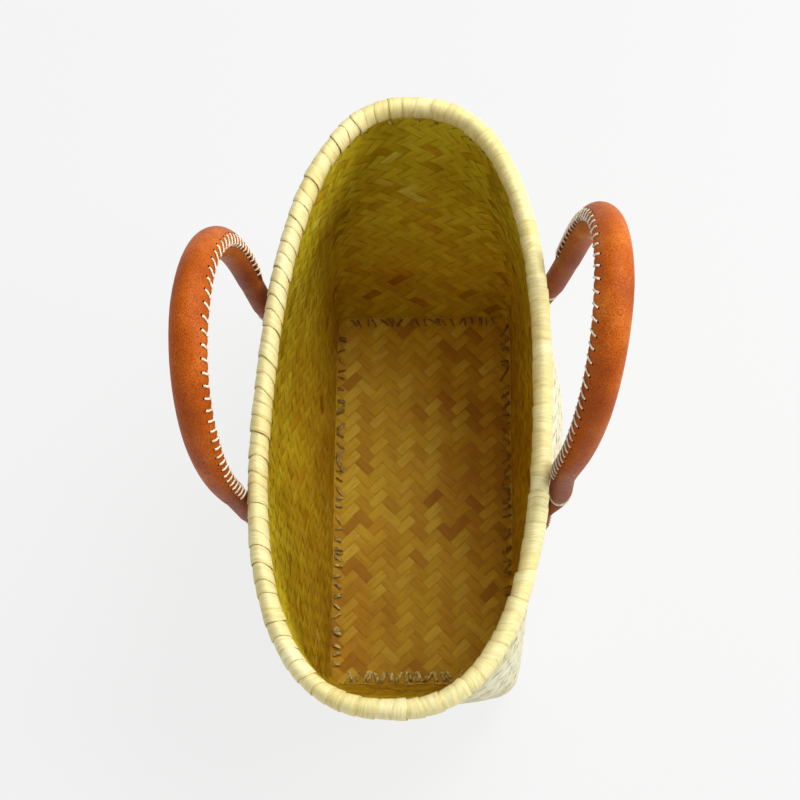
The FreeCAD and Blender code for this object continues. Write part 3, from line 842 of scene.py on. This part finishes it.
class Handle:
    """Arch of one handle and the straight legs that carry it on down the wall."""

    def __init__(self, name, side, shift, lean, reach):
        self.name = name
        self.side = side
        lean = math.radians(lean)
        self.up = np.array([0, side * math.sin(lean), math.cos(lean)])
        self.mouthward = np.array([0, -side * math.cos(lean), math.sin(lean)])
        self.origin = np.array([shift, side * HINGE_SIDE, HINGE_HEIGHT])
        self.poles = [self.place(-LEG_SPAN, 0), self.place(-LEG_SPAN - ARCH_BULGE, reach),
                      self.place(LEG_SPAN + ARCH_BULGE, reach), self.place(LEG_SPAN, 0)]
        self.legs = [self.leg(-1), self.leg(1)]
        shares = np.linspace(0, 1, 401)
        steps = np.linalg.norm(np.diff(self.arch(shares), axis=0), axis=1)
        self.length = steps.sum()
        self.run_shares = shares
        self.runs = np.concatenate([[0], np.cumsum(steps)])

    def place(self, along, height):
        return self.origin + np.array([along, 0, 0]) + self.up * height

    def leg(self, end):
        """Centre line of a leg's sewn-down part: its lower end and the bend line."""
        foot = self.place(end * LEG_SPAN, 0)
        across = float(side_at(foot[0], ROOT_BOTTOM, ROOT_GAP, self.side))
        return np.array([foot[0], across, ROOT_BOTTOM]), foot

    def arch(self, share):
        share = np.asarray(share, float)[..., None]
        a, b, c, d = self.poles
        return (a * (1 - share) ** 3 + 3 * b * share * (1 - share) ** 2
                + 3 * c * share ** 2 * (1 - share) + d * share ** 3)

    def tangent(self, share):
        return unit(self.arch(np.asarray(share) + 1e-4) - self.arch(np.asarray(share) - 1e-4))

    def share_at(self, run):
        return np.interp(run, self.runs, self.run_shares)

    def frame(self, run):
        """Centre, mouthward and outward directions at a run, with both bends rounded.

        A run below 0 or past the arch's length lies on the leg under the bend line."""
        run = np.asarray(run, float)
        share = self.share_at(run)
        centre, tangent = self.arch(share), self.tangent(share)
        bends = ((1, run, self.legs[0]), (-1, self.length - run, self.legs[1]))
        for sign, past, (base, foot) in bends:
            leg = unit(foot - base)
            rise = sign * self.tangent(0.0 if sign > 0 else 1.0)
            near = np.abs(past) / BEND_EASE
            bell = (np.exp(-near ** 2 / 2) / math.sqrt(2 * math.pi)
                    - near / 2 * erfc(near / math.sqrt(2)))
            over = (0.5 * erfc(past / BEND_EASE / math.sqrt(2)))[..., None]
            centre = (centre + leg * np.minimum(past, 0)[..., None]
                      + (rise - leg) * (BEND_EASE * bell)[..., None])
            tangent = tangent * (1 - over) + sign * leg * over
        tangent = unit(tangent)
        mouthward = unit(self.mouthward - tangent * (tangent @ self.mouthward)[..., None])
        return centre, mouthward, -self.side * np.cross(tangent, mouthward)

    def radius(self, run):
        past = np.minimum(np.minimum(run, self.length - run), 0)
        thinner = (LEG_RADIUS - NECK_RADIUS) * smooth_step(-past / 12)
        return np.interp(self.share_at(run), RADIUS_SHARES, RADII) - thinner

    def scallop(self, run):
        """0 at every seam stitch and 1 midway between two."""
        return np.abs(np.sin(np.pi * (run / STITCH_PITCH)))

    def edge(self, run, radius):
        """Angle of the flap's cut edge, drawn back at every stitch."""
        return FLAP_EDGE - (1.1 * self.scallop(run) - 0.5) / radius

    def flap(self, run):
        """Step of the flap's edge, pressed down at every stitch."""
        return FLAP_STEP * (0.55 + 0.45 * self.scallop(run))

    def skin(self, run, angle, lift):
        """Point on the leather, lifted off it."""
        centre, mouthward, outer = self.frame(run)
        radius = self.radius(run)
        beyond = angle - self.edge(run, radius)
        fade = np.exp(-np.maximum(beyond, 0) / FLAP_FADE)
        flap = np.where(beyond >= 0, self.flap(run) * fade, 0.0)
        return on_ring(centre, radius + flap + lift, angle, mouthward, outer)


def leather_skin(handle):
    """One strip of leather: tab, leg, arch, leg, tab."""
    arch_runs = np.linspace(0, handle.length, int(handle.length / 1.5))
    rows, tones = [], []
    ramp = np.linspace(0, 1, SECTION)
    for run in arch_runs:
        angles = handle.edge(run, handle.radius(run)) + ramp * SECTION_TURN
        rows.append(handle.skin(run, angles, 0.0))
        away = min(run, handle.length - run)
        # Painted shade: the leather darkens towards the legs, and along the flap's cut edge and
        # the step under it.
        wear_and_shade = 0.4 * (1 - smooth_step(away / 45)) + 0.3 * (1 - smooth_step(away / 150))
        tone = np.full(SECTION, wear_and_shade)
        tone[0] += 0.35
        tone[-1] += 0.8
        tone[-2] += 0.3
        tones.append(tone)
    start, start_tones = leather_leg(handle, -1)
    end, end_tones = leather_leg(handle, 1)
    rows = start + rows + end[::-1]
    tones = start_tones + tones + end_tones[::-1]
    grid = np.array(rows)
    sheaf = Sheaf()
    grain = np.zeros(grid.shape)
    grain[..., 0] = ramp[None] * 50
    sheaf.add(grid, grain, np.clip(np.array(tones), 0, 1))
    return sheaf


def leather_leg(handle, end):
    """Rows of leather from the rounded end of the tab up to the bend line."""
    base, foot = handle.legs[(end + 1) // 2]
    slope = unit(foot - base)[2]
    bottom = TAB_BOTTOM - TAB_HALF_WIDTH
    heights = np.concatenate([bottom + np.array([0.05, 0.35, 0.9, 1.8, 3.0, 4.6, 6.6]),
                              np.arange(TAB_BOTTOM, HINGE_HEIGHT - 0.7, 1.8)])
    ramp = np.linspace(0, 1, SECTION)
    rows, tones = [], []
    for height in heights:
        angles = FLAP_EDGE + ramp * SECTION_TURN
        half = TAB_HALF_WIDTH
        if height < TAB_BOTTOM:
            half = math.sqrt(max(TAB_HALF_WIDTH ** 2 - (TAB_BOTTOM - height) ** 2, 0.01))
        thick = TAB_PLY / 2 * min(1.0, 0.35 + (height - bottom) / 3)
        box = 2 / 4.5
        m = thick * np.sign(np.cos(angles)) * np.abs(np.cos(angles)) ** box
        c = half * np.sign(np.sin(angles)) * np.abs(np.sin(angles)) ** box
        x = foot[0] + end * c
        y = side_at(x, height, PLY_GAP + TAB_PLY / 2 - m, handle.side)
        flat = np.stack([x, y, np.full(SECTION, height)], -1)
        below = (HINGE_HEIGHT - height) / slope
        centre, mouthward, outer = handle.frame(-below if end < 0 else handle.length + below)
        if height < ROOT_BOTTOM:
            across = float(side_at(foot[0], height, ROOT_GAP, handle.side))
            centre = np.array([foot[0], across, height])
        swell = smooth_step((height - CINCH_HEIGHT - 1) / 14)
        last = smooth_step((height - 250) / 12)
        radius = (ROOT_RADIUS + (NECK_RADIUS - ROOT_RADIUS) * swell
                  + (LEG_RADIUS - NECK_RADIUS) * last)
        radius -= 0.9 * math.exp(-((height - CINCH_HEIGHT) / 2.2) ** 2)
        proud = 0.55 * FLAP_STEP * last * np.exp(-(angles - FLAP_EDGE) / FLAP_FADE)
        round_row = on_ring(centre, radius + proud, angles, mouthward, outer)
        share = smooth_step((height - CINCH_HEIGHT + 24) / 24)
        rows.append(flat * (1 - share) + round_row * share)
        # Painted shade: the legs below the bend and the tabs are darkened.
        tones.append(np.full(SECTION, 0.7))
    return rows, tones


def seam_stitches(handle):
    """Waxed thread whipped over the flap's edge, and the awl holes it leaves, painted dark as
    shade.
    """
    thread, holes = Sheaf(), Sheaf()
    for step in range(int(handle.length / STITCH_PITCH) + 1):
        run = step * STITCH_PITCH
        radius = float(handle.radius(run))
        slant = 2.0 * handle.side + draw.normal(0, 0.15)
        spread_angle = STITCH_REACH / radius + draw.normal(0, 0.02)
        edge = float(handle.edge(run, radius))
        hole_angle, under_angle = edge + spread_angle, edge - STITCH_UNDER / radius
        shares = np.array([0.0, 0.06, 0.2, 0.4, 0.6, 0.75, 0.86, 0.95, 1.0])
        angles = hole_angle + (under_angle - hole_angle) * shares
        runs = run + slant * (1 - 2 * shares)
        lifts = np.array([-1.2, 0.0, 0.42, 0.5, 0.5, 0.5, 0.75, 0.25, -0.9])
        path = handle.skin(runs, angles, lifts)
        normal = unit(path - handle.frame(runs)[0])
        # Painted shade: the thread darkens within 70 mm of either end of the arch, towards the
        # legs.
        away = min(run, handle.length - run)
        thread.add(tube(path, SEAM_THREAD_RADIUS, 7, 0.8, normal),
                   strand_grain(path, 7, draw.uniform(0, 40)),
                   0.55 + 0.45 * smooth_step(away / 70))
        around = np.linspace(0, 2 * np.pi, 10, endpoint=False)
        rings = []
        for size, lift in ((0.3, -0.5), (0.85, -0.2), (0.7, 0.10), (0.2, 0.0)):
            angle = hole_angle + 0.35 / radius + size * 0.9 * np.cos(around) / radius
            place = run + slant * 1.05 + size * 0.95 * np.sin(around)
            rings.append(handle.skin(place, angle, np.full(10, lift)))
        holes.add(np.array(rings), np.zeros((4, 10, 3)), 0.5)
    return thread, holes


TAB_STITCH_INSET = 2.2
TAB_STITCHED_HEIGHT = 34.0
TAB_STITCH_LENGTH = 4.8
TAB_STITCH_PITCH = 7.2
TAB_THREAD_RADIUS = 0.5
CINCH_THREAD_RADIUS = 0.75


def tab_stitches(handle, end):
    """Running stitches round the tab and the thread that cinches its leg."""
    sheaf = Sheaf()
    foot = handle.place(end * LEG_SPAN, 0)
    inset = TAB_HALF_WIDTH - TAB_STITCH_INSET
    route = [(x, TAB_STITCHED_HEIGHT / 2 + step) for x in (-inset, inset)
             for step in spread(TAB_STITCHED_HEIGHT, TAB_STITCH_PITCH)]
    for step in range(4):
        angle = math.pi * (step + 0.5) / 4
        route.append((inset * math.cos(angle), -inset * math.sin(angle)))
    for x, z in route:
        along = np.array([0, 1.0]) if z > 0 else unit(np.array([-z, x]))
        shares = np.array([-0.5, -0.42, -0.25, 0.0, 0.25, 0.42, 0.5])
        lifts = np.array([-0.8, 0.0, 0.4, 0.45, 0.4, 0.0, -0.8])
        xs = foot[0] + x + along[0] * shares * TAB_STITCH_LENGTH
        zs = TAB_BOTTOM + z + along[1] * shares * TAB_STITCH_LENGTH
        ys = side_at(xs, zs, PLY_GAP + TAB_PLY + lifts, handle.side)
        path = np.stack([xs, ys, zs], -1)
        sheaf.add(tube(path, TAB_THREAD_RADIUS, 7, 0.85, (0, handle.side, 0)),
                  strand_grain(path, 7, draw.uniform(0, 40)), 1.0)
    base, foot = handle.legs[(end + 1) // 2]
    axis = unit(foot - base)
    mouthward = unit(handle.mouthward - axis * (handle.mouthward @ axis))
    outer = np.cross(axis, mouthward)
    centre = base + (foot - base) * (CINCH_HEIGHT - ROOT_BOTTOM) / (HINGE_HEIGHT - ROOT_BOTTOM)
    around = np.linspace(0, 4 * np.pi, 60)
    rising = centre + axis * (around / np.pi * 0.55 - 1.1)[:, None]
    path = on_ring(rising, ROOT_RADIUS - 0.35, around, mouthward, outer)
    sheaf.add(tube(path, CINCH_THREAD_RADIUS, 7, 1.0, axis),
              strand_grain(path, 7, draw.uniform(0, 40)), 1.0)
    return sheaf


ROPE_SHARES = (0.05, 0.24, 0.5, 0.76, 0.95)
ROPE_RADII = (6.3, 8.0, 9.1, 8.0, 6.3)
ROPE_LAY = 34.0


def rope_strands(handle):
    """Three twisted strands inside the leather."""
    sheaf = Sheaf()
    runs = np.linspace(0.05, 0.95, 160) * handle.length
    share = handle.share_at(runs)
    tangent = handle.tangent(share)
    outer = -handle.side * np.cross(tangent, handle.mouthward)
    radius = np.interp(share, ROPE_SHARES, ROPE_RADII)
    for strand in range(3):
        phase = runs / ROPE_LAY * 2 * np.pi + strand * 2 * np.pi / 3
        path = on_ring(handle.arch(share), radius * 0.5, phase, handle.mouthward, outer)
        sheaf.add(tube(path, radius * 0.48, 12, 1.0, handle.mouthward),
                  strand_grain(path, 12, strand), 1.0)
    return sheaf


HANDLES = (Handle("front", side=-1, shift=18.7, lean=10.3, reach=180.0),
           Handle("back", side=1, shift=-2.0, lean=5.0, reach=171.0))
for handle in HANDLES:
    body = handle.name + "_handle"
    piece = leather_skin(handle).make(handle.name + "_leather", leather, sharp=38)
    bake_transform(piece)
    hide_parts(handle.name + "_sleeve", handle.name + "_left_tab",
                handle.name + "_right_tab")
    thread, holes = seam_stitches(handle)
    piece = thread.make(handle.name + "_seam", waxed_thread)
    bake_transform(piece)
    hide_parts(handle.name + "_seam_thread")
    piece = holes.make(handle.name + "_awl_holes", awl_hole_shade)
    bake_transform(piece)
    finish_piece(rope_strands(handle).make(handle.name + "_rope", rope_fibre), body, "rope",
                 handle.name + "_rope_core")
    for end, label in ((-1, "left"), (1, "right")):
        stitches = tab_stitches(handle, end)
        node = "%s_%s_tab_thread" % (handle.name, label)
        finish_piece(stitches.make("%s_%s_tab_stitches" % (handle.name, label), waxed_thread),
                     "basket", "thread", node)


# ------------------------------------------------------------ floor and light

FLOOR_HALF, FLOOR_HEIGHT = 60.0, -0.0005
FLOOR_GLOW, WORLD_LIGHT = 0.79, 0.42


def floor_paint():
    paint = Paint("pale_floor", 0.9, 0.05)
    paint.shader.inputs["Emission Color"].default_value = (1.0, 1.0, 1.0, 1.0)
    paint.shader.inputs["Emission Strength"].default_value = FLOOR_GLOW
    grain = paint.noise(paint.place(), 3.0, 2.0)
    return paint.finish(paint.mix(grain, srgb(92, 92, 92), srgb(88, 88, 88)))


mesh = bpy.data.meshes.new("floor")
corners = [(x * FLOOR_HALF, y * FLOOR_HALF, FLOOR_HEIGHT)
           for x, y in ((-1, -1), (1, -1), (1, 1), (-1, 1))]
mesh.from_pydata(corners, [], [(0, 1, 2, 3)])
mesh.materials.append(floor_paint())
floor = bpy.data.objects.new("floor", mesh)
bpy.context.collection.objects.link(floor)

world = bpy.data.worlds.new("studio")
bpy.context.scene.world = world
world.use_nodes = True
world.node_tree.nodes["Background"].inputs[0].default_value = (1.0, 1.0, 1.0, 1.0)
world.node_tree.nodes["Background"].inputs[1].default_value = WORLD_LIGHT


def softbox(name, place, target, size, power):
    light = bpy.data.lights.new(name, "AREA")
    light.shape = "DISK"
    light.size = size
    light.energy = power
    lamp = bpy.data.objects.new(name, light)
    lamp.location = place
    lamp.rotation_euler = (Vector(target) - Vector(place)).to_track_quat("-Z", "Y").to_euler()
    bpy.context.collection.objects.link(lamp)


softbox("key", (0.95, -0.75, 1.9), (0, 0, 0.15), 1.3, 36)
softbox("right_side", (0.2, -1.9, 1.1), (0, 0, 0.2), 0.9, 22)
softbox("near_side", (-1.8, 0.2, 1.3), (0, 0, 0.2), 0.9, 6)


# -------------------------------------------------------------------- camera

AZIMUTH, ELEVATION, ROLL = 13.6144, 71.2245, -11.0709
LENS, DISTANCE = 85.12, 1.2
TARGET = Vector((-0.00624, 0.00169, 0.250))

a, e, r = (math.radians(angle) for angle in (AZIMUTH, ELEVATION, ROLL))
back = Vector((-math.cos(e) * math.cos(a), -math.cos(e) * math.sin(a), math.sin(e)))
right = (-back).cross(Vector((0, 0, 1))).normalized()
up = right.cross(-back)
tilted_right = math.cos(r) * right + math.sin(r) * up
tilted_up = -math.sin(r) * right + math.cos(r) * up
camera_data = bpy.data.cameras.new("camera")
camera_data.lens = LENS
camera_data.sensor_width = 36.0
camera = bpy.data.objects.new("camera", camera_data)
axes = Matrix((tilted_right, tilted_up, back)).transposed()
camera.matrix_world = Matrix.Translation(TARGET + back * DISTANCE) @ axes.to_4x4()
bpy.context.collection.objects.link(camera)
bpy.context.scene.camera = camera
bpy.context.scene.view_settings.view_transform = "Standard"

bpy.context.view_layer.update()
